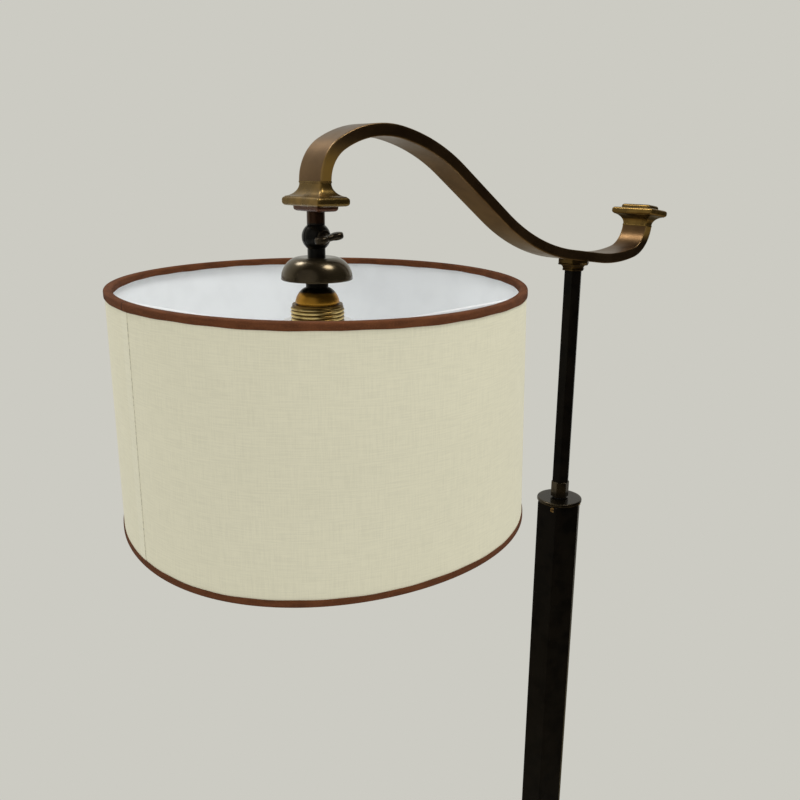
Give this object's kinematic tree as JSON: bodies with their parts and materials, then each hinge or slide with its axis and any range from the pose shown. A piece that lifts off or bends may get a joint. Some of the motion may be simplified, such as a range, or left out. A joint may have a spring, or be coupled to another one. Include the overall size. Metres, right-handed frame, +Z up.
{
  "type": "bridge floor lamp",
  "caption": "Bridge floor lamp with a bronze hexagonal column, an S-shaped flat arm with stepped ends and a cream linen drum shade on a ball knuckle",
  "frame": {"origin": "on the floor, on the column's axis", "axes": "+Z up, the shade reaches towards -X, the wing screw faces -Y, the cord inlet faces +X"},
  "size_m": [0.588, 0.309, 1.3995],
  "materials": {
    "dark_bronze": "very dark oil-rubbed bronze",
    "bronze": "rubbed bronze, brown with golden rubs",
    "worn_bronze": "bronze worn to a golden brown",
    "bell_lacquer": "glossy dark brown lacquer",
    "brass": "plain brass",
    "steel": "zinc-plated steel",
    "iron": "cast iron",
    "felt": "dark felt",
    "ceramic": "glazed white ceramic",
    "black_plastic": "black plastic",
    "white_plastic": "white plastic",
    "white_paint": "white paint on wire",
    "liner": "smooth white liner, slightly glossy",
    "linen": "cream linen with slubs",
    "binding_tape": "brown grosgrain tape"
  },
  "bodies": {
    "stand": {"felt_pad": "felt", "foot_weight": "iron", "foot_skin": "dark_bronze", "foot_washer": "steel", "foot_nut": "steel", "foot_bolt": "steel", "cord_inlet": "black_plastic", "column_plug": "brass", "column_plinth": "worn_bronze", "column_tube": "dark_bronze", "column_cap": "worn_bronze", "cap_screws": "brass", "lead_column": "black_plastic"},
    "arm": {"pivot_nipple": "steel", "pivot_washer": "steel", "pivot_nut": "steel", "rod_spacer": "black_plastic", "rod_ferrule": "worn_bronze", "rod_tube": "dark_bronze", "arm_collar": "worn_bronze", "arm_nipple": "steel", "arm_bar": "bronze", "finial": "worn_bronze", "finial_step": "worn_bronze", "lamp_end": "worn_bronze", "lamp_end_step": "worn_bronze", "knuckle_upper": "dark_bronze", "knuckle_washer": "steel", "lead_arm": "black_plastic"},
    "wing": {"wing_screw": "dark_bronze"},
    "head": {"knuckle_lower": "dark_bronze", "bell_cap": "bell_lacquer", "lampholder_dome": "brass", "lampholder_skirt": "brass", "lampholder_core": "ceramic", "bulb_shell": "steel", "bulb_contact": "brass", "lead_head": "black_plastic", "shade_ring_upper": "white_plastic", "shade_ring_lower": "white_plastic", "shade_fitter": "white_paint", "shade_wire_top": "white_paint", "shade_wire_foot": "white_paint", "shade_liner": "liner", "shade_cover": "linen", "shade_binding_top": "binding_tape", "shade_binding_foot": "binding_tape"}
  },
  "joints": [
    {"name": "arm_swing", "type": "hinge", "parent": "stand", "child": "arm", "pos_m": [0, 0, 1.036], "axis": [0, 0, 1], "range_deg": [-170, 170]},
    {"name": "shade_tilt", "type": "hinge", "parent": "arm", "child": "head", "pos_m": [-0.297, 0, 1.31872], "axis": [0, 1, 0], "range_deg": [-18, 90]},
    {"name": "wing_screw_turn", "type": "hinge", "parent": "arm", "child": "wing", "pos_m": [-0.297, 0, 1.31872], "axis": [0, 1, 0], "range_deg": [-90, 270]}
  ]
}
